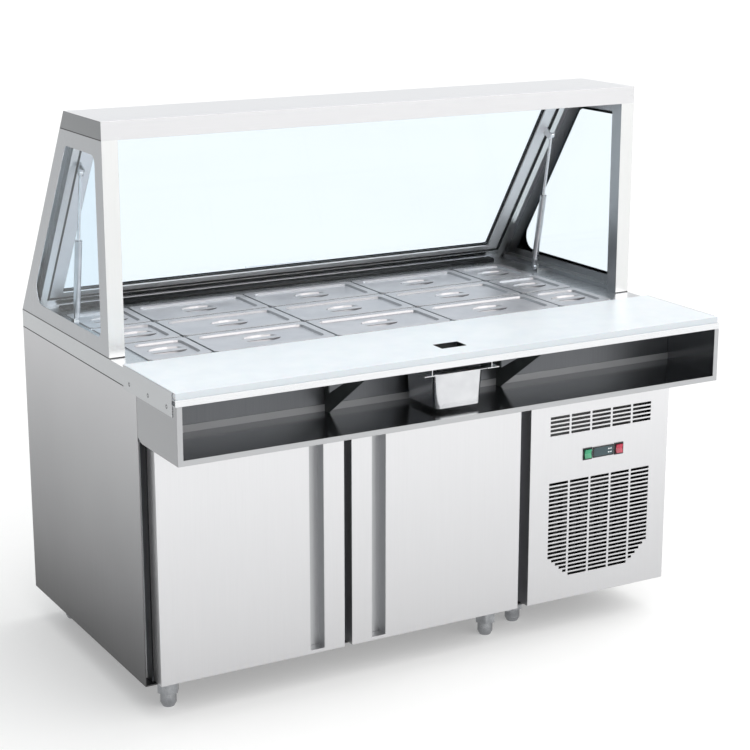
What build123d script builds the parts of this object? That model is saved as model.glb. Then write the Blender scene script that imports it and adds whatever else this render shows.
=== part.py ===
from build123d import *
from math import atan2, cos, degrees, hypot, pi, radians, sin
import os

# A two-door refrigerated preparation counter with a glass canopy over fifteen lidded pans.
# Millimetres. +X runs to the machine end, -Y faces the operator, +Z is up.
# The origin is on the floor, in the middle of the overall length and depth.

# Sheet and general fits
sheet = 2.0
fit_gap = 0.3
running_gap = 0.05

# Overall
overall_width = 1500.0
cabinet_depth = 760.0
shelf_reach = 228.0
plate_sheet = 1.5

# Heights, from the floor up
foot_height = 85.0
tray_sheet = 3.0
door_lift = 13.0
door_height = 585.0
bracket_room = 8.0
box_edge = 13.0
shelf_opening = 122.0
rail_height = 15.0
board_thickness = 15.0
board_sunk = 8.0
band_height = 46.0

# Doors and machine panel, from the left end
door_side_gap = 23.0
door_width = 490.0
door_thickness = 45.0
door_gap = 21.0
door_panel = 395.0
channel_width = 39.0
channel_depth = 30.0
channel_end = 9.0
machine_gap = 31.0
panel_end_gap = 8.0
door_seat = 37.0

# Door seals and pivots
frame_gap = 12.0
gasket_inset = 22.0
gasket_width = 12.0
pivot_inset = 18.0
pivot_pin = 4.0
pivot_depth = 14.0
pivot_play = 2.0
bracket_half = 12.0

# Insulated body and front frame
frame_depth = 30.0
head_reach = 38.0
side_wall = 53.0
back_wall = 56.0
well_depth = 112.0
well_floor = 45.0
well_margin = 12.0
machine_frame_edge = 30.0
ledge_height = 402.0
ledge_reach = 14.0
ledge_sheet = 3.0
ledge_setback = 12.0
mid_ledge_offset = 26.0

# Food pans, three wide columns between two narrow ones, three rows
pan_wide = 325.0
pan_narrow = 162.0
pan_row = 176.0
column_gap = 6.0
row_gap = 9.0
field_left = 76.0
field_front = 91.0
pan_lip = 13.0
pan_depth = 100.0
pan_sheet = 1.5
pan_taper = 4.0
pan_corner = 9.0
bar_height = 12.0
cell_play = 1.5

# Pan lids
lid_sheet = 1.2
lid_corner = 9.0
lid_margin = 18.0
lid_sink = 5.0
lid_slant = 40.0
lid_field_corner = 16.0
dish_long = 52.0
dish_short = 34.0
dish_depth = 12.0
dish_taper = 24.0
dish_sides = 12
strap_width = 20.0
strap_thickness = 2.4

# Shelf box, board and scrap pan
board_back = 72.0
board_play = 1.0
board_setback = 6.0
rail_setback = 2.0
rail_depth = 28.0
frame_plate_drop = 57.0
frame_plate_end = 22.0
box_back_flange = 17.0
brace_sheet = 3.0
brace_height = 32.0
brace_leg = 20.0
brace_top = 10.0
brace_left = 472.0
brace_right = 958.0
scrap_hole_length = 70.0
scrap_hole_width = 46.0
scrap_hole_back = 89.0
scrap_flange_width = 162.0
scrap_flange_length = 176.0
scrap_lip = 12.0
scrap_depth = 90.0
scrap_drop = 22.0
scrap_corner = 22.0
runner_sheet = 2.0
runner_foot = 22.0

# Canopy
canopy_height = 553.0
canopy_front = 158.0
canopy_top_depth = 237.0
top_box = 44.0
top_rim = 30.0
post_width = 40.0
post_depth = 40.0
window_frame = 47.0
window_bottom = 40.0
window_top = 38.0
window_corner = 22.0
window_rear_corner = 38.0
side_pane = 5.0
pane_lap = 7.0
side_rail_height = 12.0
side_rail_width = 30.0
return_outer = 38.0
return_inner = 54.0
return_depth = 22.0

# Rear hatch, measured up the slope from the deck
hatch_start = 30.0
hatch_top_gap = 10.0
hatch_side_gap = 3.0
hatch_thickness = 20.0
hatch_side = 54.0
hatch_bottom = 35.0
hatch_top = 22.0
hatch_pane = 6.0
pane_seat = 7.0
gasket_band = 20.0
sill_lip = 15.0
hinge_rise = 6.0
hinge_out = 2.0
hinge_barrel = 4.0
hinge_pin = 2.5
hinge_moving = 118.0
hinge_fixed = 60.0
hinge_spacing = 470.0
hatch_travel = 60.0
grip_length = 220.0
grip_reach = 22.0
grip_rise = 40.0
grip_bar = 8.0

# Gas struts
strut_inset = 61.0
strut_foot_back = 240.0
strut_foot_rise = 10.0
strut_head_down = 105.3
strut_head_in = 44.0
strut_tube = 9.0
strut_rod = 4.0
strut_tube_length = 215.0
strut_blind = 25.0
strut_rod_inside = 40.0
strut_eye = 8.0
strut_eye_width = 10.0
strut_pin = 4.0
strut_open_gap = 0.5
strut_plate = 4.0

# Louvres and controls on the machine panel
slot_columns = 5
slot_length = 59.0
slot_height = 7.0
slot_pitch_x = 65.2
slot_pitch_z = 11.1
upper_rows = 5
lower_rows = 24
stepped_rows = 5
slot_step = 12.0
louvre_left = 60.0
upper_louvre_drop = 82.0
lower_louvre_drop = 260.0
control_drop = 196.0
display_width = 66.0
display_height = 29.0
display_body = 56.0
switch_width = 28.0
switch_height = 32.0
switch_gap = 3.0
switch_wall = 3.5
switch_depth = 24.0
bezel_proud = 2.0
bezel_lap = 2.0
rocker_proud = 4.0
rocker_play = 0.9
rocker_pin = 1.5
controls_centre = 228.0

# Machinery
condenser_height = 290.0
condenser_width = 330.0
condenser_core = 44.0
condenser_fins = 11
fin_gap = 16.0
shroud_depth = 30.0
fan_radius = 118.0
fan_play = 5.0
fan_hub = 26.0
fan_blades = 5
fan_blade_depth = 16.0
fan_spindle = 5.0
blade_rake = 28.0
blade_sheet = 3.0
compressor_radius = 78.0
compressor_height = 190.0
evaporator_width = 70.0
evaporator_length = 380.0
evaporator_height = 210.0
evaporator_fan_radius = 80.0

# Feet
foot_stem = 15.0
foot_stem_length = 18.0
foot_hex = 28.0
foot_hex_length = 31.0
foot_boss = 20.0
foot_round = 10.0
foot_row = 56.0
foot_left = 82.0
foot_middle = 990.0
foot_back_inset = 60.0
foot_machine_left = 1105.0
foot_machine_front = 100.0
foot_machine_right_inset = 82.0
foot_machine_setback = 260.0

# Shelves
shelf_thickness = 10.0
shelf_play = 3.0
shelf_slots = 9
shelf_slot_width = 22.0
shelf_border = 18.0
shelf_back_gap = 20.0

# Places that follow from the sizes above
left = -overall_width / 2
right = overall_width / 2
front = shelf_reach - (cabinet_depth + shelf_reach) / 2
back = front + cabinet_depth
body_left = left + plate_sheet
body_right = right - plate_sheet
inner_left = body_left + sheet + fit_gap
inner_right = body_right - sheet - fit_gap
tray_top = foot_height + tray_sheet
door_bottom = foot_height + door_lift
door_top = door_bottom + door_height
box_bottom = door_top + bracket_room + 1
box_floor = box_bottom + box_edge
rail_bottom = box_floor + shelf_opening
board_bottom = rail_bottom + rail_height
board_top = board_bottom + board_thickness
deck_top = board_bottom + board_sunk
band_bottom = deck_top - band_height
door_front = front - door_thickness
seat_face = front + frame_gap
body_front = seat_face + frame_depth
head_front = seat_face - head_reach
head_bottom = door_top + bracket_room
door_one = left + door_side_gap
door_two = door_one + door_width + door_gap
machine_left = door_two + door_width + machine_gap
machine_right = right - panel_end_gap
partition = door_two + door_width - door_seat + side_wall
well_bottom = deck_top - sheet - well_depth
body_back = back - sheet
cavity_back = body_back - back_wall
board_step = front + board_back + board_play
box_left = body_left + fit_gap
box_right = body_right - fit_gap
rail_back = front - shelf_reach + rail_setback + rail_depth
machine_centre = (machine_left + machine_right) / 2
rocker_axis = door_front - bezel_proud + rocker_proud
compressor_y = back - cabinet_depth / 3

# Column and row places of the pans
column_widths = [pan_narrow, pan_wide, pan_wide, pan_wide, pan_narrow]
column_starts = [left + field_left]
for width in column_widths[:-1]:
    column_starts.append(column_starts[-1] + width + column_gap)
column_centres = [start + width / 2 for start, width in zip(column_starts, column_widths)]
row_centres = [front + field_front + pan_row / 2 + n * (pan_row + row_gap) for n in range(3)]
row_names = ["front", "middle", "back"]
field_right = column_starts[-1] + column_widths[-1]
field_back = row_centres[-1] + pan_row / 2
opening_left = column_starts[0] + pan_lip - cell_play
opening_right = field_right - pan_lip + cell_play
opening_front = front + field_front + pan_lip - cell_play
opening_back = field_back - pan_lip + cell_play

# Slope of the canopy's rear face
slope_run = cabinet_depth - canopy_front - canopy_top_depth
slope = atan2(canopy_height, slope_run)
slope_length = hypot(canopy_height, slope_run)
canopy_top = deck_top + canopy_height
seam = canopy_top - top_box
seam_along = (seam - deck_top) / sin(slope)
hatch_end = seam_along - hatch_top_gap
hatch_half = body_right - return_outer - hatch_side_gap
pane_half = hatch_half - hatch_side
# Local x runs with +X, local y up the slope, local z inwards from the rear face.
slope_plane = Plane(origin=(0, back, deck_top), x_dir=(1, 0, 0), z_dir=(0, -sin(slope), -cos(slope)))


def on_slope(along, inward):
    """Gives y and z of a point by its way up the slope and its depth inwards."""
    y = back - along * cos(slope) - inward * sin(slope)
    z = deck_top + along * sin(slope) - inward * cos(slope)
    return y, z


hinge_y, hinge_z = on_slope(hatch_end + hinge_rise, -hinge_out)
strut_bracket = right - strut_inset - strut_eye_width / 2 - strut_open_gap - strut_plate
strut_head_y, strut_head_z = on_slope(hatch_end + hinge_rise - strut_head_down, strut_head_in - hinge_out)
strut_foot_y = back - strut_foot_back
strut_foot_z = deck_top + strut_foot_rise
strut_length = hypot(strut_head_y - strut_foot_y, strut_head_z - strut_foot_z)
strut_lean = degrees(atan2(strut_foot_y - strut_head_y, strut_head_z - strut_foot_z))


def hinge_knuckle():
    """Adds the section of a fixed hinge knuckle with its root on the top box."""
    with Locations((hinge_y, hinge_z)):
        Circle(hinge_barrel)
    root = seam_along + hatch_top_gap
    outline([on_slope(root, 0), on_slope(root, -hinge_out), (hinge_y, hinge_z), on_slope(seam_along, 0)])


def evaporator_place():
    """Gives the left face of the coil case and its middle in y and z."""
    case_left = partition - side_wall - evaporator_width
    middle_y = (body_front + cavity_back) / 2
    middle_z = well_bottom - fin_gap - evaporator_height / 2
    return case_left, middle_y, middle_z


def facing(y):
    """Gives the upright plane at depth y. Its extrusions run towards the operator."""
    return Plane.XZ.offset(-y)


def patch(low, high, mode=Mode.ADD):
    """Adds a rectangle between two corners of the sketch plane."""
    with Locations(((low[0] + high[0]) / 2, (low[1] + high[1]) / 2)):
        Rectangle(high[0] - low[0], high[1] - low[1], mode=mode)


def outline(points):
    """Adds the closed face through the points."""
    Polygon(*points, align=None)


def save(part, name):
    """Labels a finished piece and writes it."""
    part.label = name
    export_step(part, f"parts/{name}.step")


def make_levelling_feet():
    """Stem, hexagonal body and round boss of each foot."""
    back_row = back - foot_back_inset
    places = [
        (left + foot_left, front + foot_row),
        (left + foot_middle, front + foot_row),
        (left + foot_left, back_row),
        (left + foot_middle, back_row),
        (left + foot_machine_left, front + foot_machine_front),
        (right - foot_machine_right_inset, front + foot_machine_setback),
        (right - foot_machine_right_inset, back_row),
    ]
    hex_top = foot_height - foot_stem_length
    hex_bottom = hex_top - foot_hex_length
    with BuildPart() as feet:
        with BuildSketch(Plane.XY):
            with Locations(*places):
                Circle(foot_boss)
        extrude(amount=hex_bottom)
        chamfer(feet.edges().group_by(Axis.Z)[0], foot_round, foot_round / 2)
        with BuildSketch(Plane.XY.offset(hex_bottom)):
            with Locations(*places):
                RegularPolygon(foot_hex, 6)
        extrude(amount=foot_hex_length)
        with BuildSketch(Plane.XY.offset(hex_top)):
            with Locations(*places):
                RegularPolygon(foot_stem, 8)
        extrude(amount=foot_stem_length)
    return feet.part


def make_base_tray():
    """Flat tray under the body and the machine bay."""
    with BuildPart() as tray:
        with BuildSketch(Plane.XY.offset(foot_height)):
            patch((inner_left, front), (inner_right, body_back - fit_gap))
        extrude(amount=tray_sheet)
    return tray.part


def make_side_skin(x):
    """Flat outer skin of one end, from x towards +X."""
    with BuildPart() as skin:
        with BuildSketch(Plane.YZ.offset(x)):
            patch((front, foot_height), (back, band_bottom))
        extrude(amount=sheet)
    return skin.part


def make_back_panel():
    """Rear skin with a field of cooling slots behind the machine bay."""
    vent_left = partition + side_wall
    vent_right = inner_right - side_wall
    vent_rows = 9
    vent_pitch = 26.0
    vent_slot = 9.0
    with BuildPart() as panel:
        with BuildSketch(facing(back)):
            patch((body_left + sheet, foot_height), (body_right - sheet, band_bottom))
            with Locations(((vent_left + vent_right) / 2, foot_height + door_height / 3)):
                with GridLocations(1, vent_pitch, 1, vent_rows):
                    Rectangle(vent_right - vent_left, vent_slot, mode=Mode.SUBTRACT)
        extrude(amount=sheet)
    return panel.part


def make_insulated_body():
    """Foamed body with the cold room, the shallow well over the machine bay and the shelf ledges."""
    cold_left = door_one + door_seat
    cold_right = partition - side_wall
    cold_floor = door_bottom + door_seat
    under_deck = deck_top - sheet
    under_step = board_bottom - sheet
    step_back = board_step + sheet
    well_right = opening_right + well_margin
    ledge_front = body_front + ledge_setback
    shelf_z = ledge_height
    mullion = (door_one + door_width + door_two) / 2
    with BuildPart() as body:
        with BuildSketch(Plane.YZ.offset(inner_left)):
            outline([(body_front, tray_top), (body_back, tray_top), (body_back, under_deck),
                     (step_back, under_deck), (step_back, under_step), (body_front, under_step)])
        extrude(amount=partition - inner_left)
        with BuildSketch(Plane.YZ.offset(partition)):
            outline([(body_front, well_bottom - well_floor), (body_back, well_bottom - well_floor),
                     (body_back, under_deck), (step_back, under_deck), (step_back, under_step),
                     (body_front, under_step)])
        extrude(amount=well_right + side_wall - partition)
        with BuildSketch(Plane.XY.offset(cold_floor)):
            patch((cold_left, body_front), (cold_right, cavity_back))
        extrude(amount=under_deck - cold_floor, mode=Mode.SUBTRACT)
        with BuildSketch(Plane.XY.offset(well_bottom)):
            patch((cold_left, body_front), (well_right, cavity_back))
        extrude(amount=under_deck - well_bottom, mode=Mode.SUBTRACT)
        with BuildSketch(Plane.XY.offset(shelf_z - ledge_sheet)):
            patch((cold_left, ledge_front), (cold_left + ledge_reach, cavity_back))
            patch((cold_right - ledge_reach, ledge_front), (cold_right, cavity_back))
            patch((mullion - mid_ledge_offset, ledge_front), (mullion + mid_ledge_offset, cavity_back))
        extrude(amount=ledge_sheet)
    return body.part


def make_front_frame():
    """Stiles, mullion and sill round the doors, the machine bay frame and the head over the doors."""
    door_inner = door_bottom + door_seat
    head_left = inner_left
    head_top = board_bottom - sheet
    with BuildPart() as frame:
        with BuildSketch(facing(body_front)):
            patch((door_one + 1, tray_top), (inner_right, head_top))
            patch((head_left, head_bottom), (inner_right, head_top))
            for door in (door_one, door_two):
                patch((door + door_seat, door_inner), (door + door_width - door_seat, door_top - door_seat),
                      mode=Mode.SUBTRACT)
            patch((machine_left + machine_frame_edge, door_inner),
                  (machine_right - machine_frame_edge, door_top - door_seat), mode=Mode.SUBTRACT)
        extrude(amount=frame_depth)
        with BuildSketch(Plane.YZ.offset(head_left)):
            outline([(head_front, head_bottom), (seat_face, head_bottom), (seat_face, head_top),
                     (front, head_top), (front, board_bottom), (head_front, board_bottom)])
        extrude(amount=inner_right - head_left)
    return frame.part


def make_worktop():
    """Deck with side and rear bands, the sunk ledge under the board, the pan opening and the hatch sill."""
    lip_bottom = deck_top - bar_height
    deck_under = deck_top - sheet
    sill_end = hatch_start - fit_gap
    sill_back = return_depth - fit_gap
    slant = 1 / sin(slope)
    with BuildPart() as deck:
        with BuildSketch(Plane.YZ.offset(body_left)):
            outline([(front, band_bottom), (back, band_bottom), (back, deck_top), (board_step, deck_top),
                     (board_step, board_bottom), (front, board_bottom)])
        extrude(amount=body_right - body_left)
        with BuildSketch(Plane.YZ.offset(body_left + sheet)):
            outline([(front, band_bottom), (back - sheet, band_bottom), (back - sheet, deck_under),
                     (board_step + sheet, deck_under), (board_step + sheet, board_bottom - sheet),
                     (front, board_bottom - sheet)])
        extrude(amount=body_right - body_left - 2 * sheet, mode=Mode.SUBTRACT)
        with BuildSketch(Plane.XY.offset(lip_bottom)):
            patch((opening_left - sheet, opening_front - sheet),
                  (opening_right + sheet, opening_back + sheet))
        extrude(amount=bar_height)
        with BuildSketch(Plane.XY.offset(lip_bottom)):
            patch((opening_left, opening_front), (opening_right, opening_back))
        extrude(amount=bar_height, mode=Mode.SUBTRACT)
        with BuildSketch(Plane.YZ.offset(body_left + return_outer + fit_gap)):
            outline([(back, deck_top), on_slope(sill_end, 0), on_slope(sill_end, sill_back),
                     (back - sill_back * slant, deck_top)])
        extrude(amount=body_right - body_left - 2 * (return_outer + fit_gap))
        with BuildSketch(Plane.YZ.offset(body_left + return_inner + fit_gap)):
            outline([(back - sheet, deck_top), on_slope(sill_end, sheet), on_slope(sill_end, return_depth),
                     on_slope(hatch_start + sill_lip, return_depth),
                     on_slope(hatch_start + sill_lip, return_depth + sheet),
                     (back - (return_depth + sheet) * slant, deck_top)])
        extrude(amount=body_right - body_left - 2 * (return_inner + fit_gap))
    return deck.part


def make_pan_bars():
    """Grid of flat bars between the pans, flush with the deck and butted into its opening."""
    half_x = (column_gap + 2 * (pan_lip - cell_play)) / 2
    half_y = (row_gap + 2 * (pan_lip - cell_play)) / 2
    with BuildPart() as bars:
        with BuildSketch(Plane.XY.offset(deck_top - bar_height)):
            for start in column_starts[1:]:
                middle = start - column_gap / 2
                patch((middle - half_x, opening_front + fit_gap), (middle + half_x, opening_back - fit_gap))
            for centre in row_centres[:-1]:
                middle = centre + (pan_row + row_gap) / 2
                patch((opening_left + fit_gap, middle - half_y), (opening_right - fit_gap, middle + half_y))
        extrude(amount=bar_height)
    return bars.part


def make_pan_column(centre_x, width):
    """Three pans of one column, hung by their flanges on the deck and the bars."""
    places = [(centre_x, y) for y in row_centres]
    body_x = width - 2 * pan_lip
    body_y = pan_row - 2 * pan_lip
    with BuildPart() as pans:
        with BuildSketch(Plane.XY.offset(deck_top)):
            with Locations(*places):
                Rectangle(width, pan_row)
        extrude(amount=pan_sheet)
        with BuildSketch(Plane.XY.offset(deck_top)) as hung:
            with Locations(*places):
                Rectangle(body_x, body_y)
            chamfer(hung.vertices(), pan_corner)
        extrude(amount=-pan_depth, taper=pan_taper)
        with BuildSketch(Plane.XY.offset(deck_top + pan_sheet)) as hollow:
            with Locations(*places):
                Rectangle(body_x - 2 * pan_sheet, body_y - 2 * pan_sheet)
            chamfer(hollow.vertices(), pan_corner)
        extrude(amount=-pan_depth, taper=pan_taper, mode=Mode.SUBTRACT)
    return pans.part


def oval(long_radius, short_radius):
    """Adds a many-sided oval, few sided because fifteen lids repeat it."""
    turns = [2 * pi * (n + 0.5) / dish_sides for n in range(dish_sides)]
    outline([(long_radius * cos(turn), short_radius * sin(turn)) for turn in turns])


def soft_rectangle(width, depth, radius):
    """Adds a rectangle whose corners turn in two straight steps."""
    points = []
    for quarter in range(4):
        side_x = 1 if quarter in (0, 3) else -1
        side_y = 1 if quarter in (0, 1) else -1
        for step in range(3):
            turn = radians(90 * quarter + 45 * step)
            points.append((side_x * (width / 2 - radius) + radius * cos(turn),
                           side_y * (depth / 2 - radius) + radius * sin(turn)))
    outline(points)


def make_lid(centre_x, centre_y, width):
    """Pressed pan lid: flange, sunk field, finger dish and the flush strap across it."""
    top = deck_top + pan_sheet + lid_sheet
    field_x = width - 2 * lid_margin
    field_y = pan_row - 2 * lid_margin
    under = Plane((centre_x, centre_y, top - lid_sheet))
    face = Plane((centre_x, centre_y, top))
    floor = Plane((centre_x, centre_y, top - lid_sink))
    with BuildPart() as lid:
        with BuildSketch(under) as flange:
            Rectangle(width, pan_row)
            chamfer(flange.vertices(), lid_corner)
        extrude(amount=lid_sheet)
        with BuildSketch(face) as pressed:
            Rectangle(field_x, field_y)
            chamfer(pressed.vertices(), lid_corner)
        extrude(amount=-(lid_sink + lid_sheet), taper=lid_slant)
        with BuildSketch(floor):
            oval(dish_long + lid_sheet, dish_short + lid_sheet)
        extrude(amount=-(dish_depth + lid_sheet), taper=dish_taper)
        with BuildSketch(face):
            soft_rectangle(field_x - 2 * lid_sheet, field_y - 2 * lid_sheet, lid_field_corner)
        extrude(amount=-lid_sink, taper=lid_slant, mode=Mode.SUBTRACT)
        with BuildSketch(floor):
            oval(dish_long, dish_short)
        extrude(amount=-dish_depth, taper=dish_taper, mode=Mode.SUBTRACT)
        with BuildSketch(floor):
            Rectangle(2 * dish_long + lid_sheet, strap_width)
        extrude(amount=-strap_thickness)
    return lid.part


def door_section(start, panel_first):
    """Gives the door's section points, with the handle channel on the free side."""
    face = door_front
    deep = door_front + channel_depth
    if panel_first:
        near = start + door_panel
        far = near + channel_width
    else:
        far = start + door_width - door_panel
        near = far - channel_width
    return face, deep, min(near, far), max(near, far)


def make_door(start, panel_first):
    """Foamed door with a full-height finger channel closed at both ends, and two pivot holes."""
    face, deep, near, far = door_section(start, panel_first)
    pivot_x = start + pivot_inset if panel_first else start + door_width - pivot_inset
    pivot_y = front - door_thickness / 2
    with BuildPart() as door:
        with BuildSketch(Plane.XY.offset(door_bottom)):
            patch((start, face), (start + door_width, front))
        extrude(amount=door_height)
        with BuildSketch(Plane.XY.offset(door_bottom + channel_end)):
            patch((near, face), (far, deep))
        extrude(amount=door_height - 2 * channel_end, mode=Mode.SUBTRACT)
        for z, way in ((door_bottom, 1), (door_top, -1)):
            with BuildSketch(Plane.XY.offset(z)):
                with Locations((pivot_x, pivot_y)):
                    Circle(pivot_pin + running_gap)
            extrude(amount=way * pivot_depth, mode=Mode.SUBTRACT)
    return door.part


def make_door_gasket(start):
    """Magnetic seal round the back of one door."""
    low = (start + gasket_inset, door_bottom + gasket_inset)
    high = (start + door_width - gasket_inset, door_top - gasket_inset)
    with BuildPart() as gasket:
        with BuildSketch(facing(seat_face - fit_gap)):
            patch(low, high)
            patch((low[0] + gasket_width, low[1] + gasket_width),
                  (high[0] - gasket_width, high[1] - gasket_width), mode=Mode.SUBTRACT)
        extrude(amount=frame_gap - fit_gap)
    return gasket.part


def make_door_hinges():
    """Four pivot brackets on the front frame, each with its pin in the door."""
    pivots = (door_one + pivot_inset, door_two + door_width - pivot_inset)
    pivot_y = front - door_thickness / 2
    thickness = bracket_room - pivot_play
    with BuildPart() as hinges:
        for z, way in ((door_bottom - pivot_play, 1), (door_top + pivot_play, -1)):
            with BuildSketch(Plane.XY.offset(z)):
                for x in pivots:
                    with Locations((x, pivot_y)):
                        Circle(bracket_half)
                    patch((x - bracket_half, pivot_y), (x + bracket_half, seat_face))
            extrude(amount=-way * thickness)
            with BuildSketch(Plane.XY.offset(z)):
                for x in pivots:
                    with Locations((x, pivot_y)):
                        Circle(pivot_pin)
            extrude(amount=way * pivot_depth)
    return hinges.part


def make_shelf(low_x, high_x):
    """Slotted shelf of one bay, resting on its ledges."""
    depth_front = body_front + shelf_back_gap
    depth_back = cavity_back - shelf_back_gap
    slot_field = high_x - low_x - 2 * shelf_border
    with BuildPart() as shelf:
        with BuildSketch(Plane.XY.offset(ledge_height)):
            patch((low_x, depth_front), (high_x, depth_back))
            with Locations(((low_x + high_x) / 2, (depth_front + depth_back) / 2)):
                with GridLocations(slot_field / shelf_slots, 1, shelf_slots, 1):
                    Rectangle(shelf_slot_width, depth_back - depth_front - 2 * shelf_border,
                              mode=Mode.SUBTRACT)
        extrude(amount=shelf_thickness)
    return shelf.part


def louvre_field(rows, top, stepped):
    """Adds a field of slots, whose lowest rows step in at both outer columns."""
    first = machine_left + louvre_left
    for row in range(rows):
        z = top - row * slot_pitch_z - slot_height / 2
        short = max(0, row + 1 - (rows - stepped)) * slot_step
        for column in range(slot_columns):
            low = first + column * slot_pitch_x
            high = low + slot_length
            if column == 0:
                low += short
            if column == slot_columns - 1:
                high -= short
            if high - low > slot_height:
                patch((low, z - slot_height / 2), (high, z + slot_height / 2))


def control_places():
    """Gives the centres of the green switch, the display and the red switch, and their height."""
    middle = machine_left + controls_centre
    reach = display_width / 2 + switch_gap + switch_width / 2
    return middle - reach, middle, middle + reach, door_top - control_drop


def make_machine_panel():
    """Folded service panel with two louvre fields and cut-outs for the controls."""
    green_x, display_x, red_x, control_z = control_places()
    back_edge = frame_gap + door_thickness
    with BuildPart() as panel:
        with BuildSketch(facing(seat_face)):
            patch((machine_left, door_bottom), (machine_right, door_top))
        extrude(amount=back_edge)
        with BuildSketch(facing(seat_face)):
            patch((machine_left + sheet, door_bottom + sheet), (machine_right - sheet, door_top - sheet))
        extrude(amount=back_edge - sheet, mode=Mode.SUBTRACT)
        with BuildSketch(facing(door_front + sheet)):
            louvre_field(upper_rows, door_top - upper_louvre_drop, 0)
            louvre_field(lower_rows, door_top - lower_louvre_drop, stepped_rows)
            with Locations((display_x, control_z)):
                Rectangle(display_width - 2 * bezel_lap, display_height - 2 * bezel_lap)
            with Locations((green_x, control_z), (red_x, control_z)):
                Rectangle(switch_width - 2 * bezel_lap, switch_height - 2 * bezel_lap)
        extrude(amount=sheet, mode=Mode.SUBTRACT)
    return panel.part


def make_control_housings():
    """Display and two switch housings, each with a bezel lapping over its cut-out."""
    green_x, display_x, red_x, control_z = control_places()
    inset = 2 * (bezel_lap + fit_gap)
    hole = 2 * switch_wall
    with BuildPart() as housings:
        with BuildSketch(facing(door_front)):
            with Locations((display_x, control_z)):
                Rectangle(display_width, display_height)
            with Locations((green_x, control_z), (red_x, control_z)):
                Rectangle(switch_width, switch_height)
        extrude(amount=bezel_proud)
        with BuildSketch(facing(door_front)):
            with Locations((display_x, control_z)):
                Rectangle(display_width - inset, display_height - inset)
        extrude(amount=-display_body)
        with BuildSketch(facing(door_front)):
            with Locations((green_x, control_z), (red_x, control_z)):
                Rectangle(switch_width - inset, switch_height - inset)
        extrude(amount=-switch_depth)
        with BuildSketch(facing(door_front - bezel_proud)):
            with Locations((green_x, control_z), (red_x, control_z)):
                Rectangle(switch_width - hole, switch_height - hole)
        extrude(amount=-(switch_depth + bezel_proud - sheet), mode=Mode.SUBTRACT)
        for x in (green_x, red_x):
            with BuildSketch(Plane.YZ.offset(x - switch_width / 2)):
                with Locations((rocker_axis, control_z)):
                    Circle(rocker_pin + running_gap)
            extrude(amount=switch_width, mode=Mode.SUBTRACT)
    return housings.part


def make_rocker(x, control_z):
    """Rocker key with a shallow vee face, pivoted across its middle."""
    half = (switch_height - 2 * switch_wall) / 2 - rocker_play
    half_x = (switch_width - 2 * switch_wall) / 2 - fit_gap
    pin_half = switch_width / 2 - bezel_lap - 2 * fit_gap
    rim = door_front - bezel_proud
    with BuildPart() as rocker:
        with BuildSketch(Plane.YZ.offset(x - half_x)):
            outline([(rim + rocker_proud, control_z - half), (rim - rocker_proud, control_z - half),
                     (rim - rocker_play, control_z), (rim - rocker_proud, control_z + half),
                     (rim + rocker_proud, control_z + half), (rim + 2 * rocker_proud, control_z)])
        extrude(amount=2 * half_x)
        with BuildSketch(Plane.YZ.offset(x - pin_half)):
            with Locations((rocker_axis, control_z)):
                Circle(rocker_pin)
        extrude(amount=2 * pin_half)
    return rocker.part


def make_condenser():
    """Finned condenser core behind the lower louvres, with the fan shroud and the motor arm."""
    low = tray_top
    high = low + condenser_height
    low_x = machine_centre - condenser_width / 2
    high_x = machine_centre + condenser_width / 2
    core_back = body_front + fit_gap + condenser_core
    fan_z = low + condenser_height / 2
    shroud_back = core_back + shroud_depth
    with BuildPart() as condenser:
        with BuildSketch(facing(core_back)):
            patch((low_x, low), (high_x, high))
            with Locations((machine_centre, fan_z)):
                with GridLocations(condenser_width / condenser_fins, 1, condenser_fins, 1):
                    Rectangle(fin_gap, condenser_height - 2 * fin_gap, mode=Mode.SUBTRACT)
        extrude(amount=condenser_core)
        with BuildSketch(facing(shroud_back)):
            patch((low_x, low), (high_x, high))
            with Locations((machine_centre, fan_z)):
                Circle(fan_radius + fan_play, mode=Mode.SUBTRACT)
        extrude(amount=shroud_depth)
        with BuildSketch(facing(shroud_back + sheet)):
            patch((machine_centre - fan_hub / 2, low), (machine_centre + fan_hub / 2, high))
        extrude(amount=sheet)
        with BuildSketch(facing(shroud_back)):
            with Locations((machine_centre, fan_z)):
                Circle(fan_spindle)
        extrude(amount=shroud_depth)
    return condenser.part


def make_fan(base, radius):
    """Fan rotor on the base plane: raked flat blades round a bored hub, blowing along its normal."""
    middle = base.offset(fan_blade_depth / 2)
    rake = radians(blade_rake)
    with BuildPart() as fan:
        with BuildSketch(base):
            Circle(fan_hub)
        extrude(amount=fan_blade_depth)
        for n in range(fan_blades):
            turn = 2 * pi * n / fan_blades
            radial = base.x_dir * cos(turn) + base.y_dir * sin(turn)
            across = base.y_dir * cos(turn) - base.x_dir * sin(turn)
            normal = base.z_dir * cos(rake) + across * sin(rake)
            with BuildSketch(Plane(origin=middle.origin, x_dir=radial, z_dir=normal)):
                with Locations(((fan_hub + radius) / 2 - blade_sheet, 0)):
                    Rectangle(radius - fan_hub, fan_hub)
            extrude(amount=blade_sheet / 2, both=True)
        with BuildSketch(base):
            Circle(fan_spindle + running_gap)
        extrude(amount=fan_blade_depth, mode=Mode.SUBTRACT)
    return fan.part


def make_compressor():
    """Hermetic compressor pot on its foot plate."""
    foot = 8.0
    shoulder = 26.0
    with BuildPart() as compressor:
        with BuildSketch(Plane((machine_centre, compressor_y, tray_top))):
            Rectangle(2 * compressor_radius + foot, 2 * compressor_radius + foot)
        extrude(amount=foot)
        with BuildSketch(Plane((machine_centre, compressor_y, tray_top + foot))):
            Circle(compressor_radius)
        extrude(amount=compressor_height - foot)
        chamfer(compressor.edges().group_by(Axis.Z)[-1], shoulder, shoulder / 2)
    return compressor.part


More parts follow.
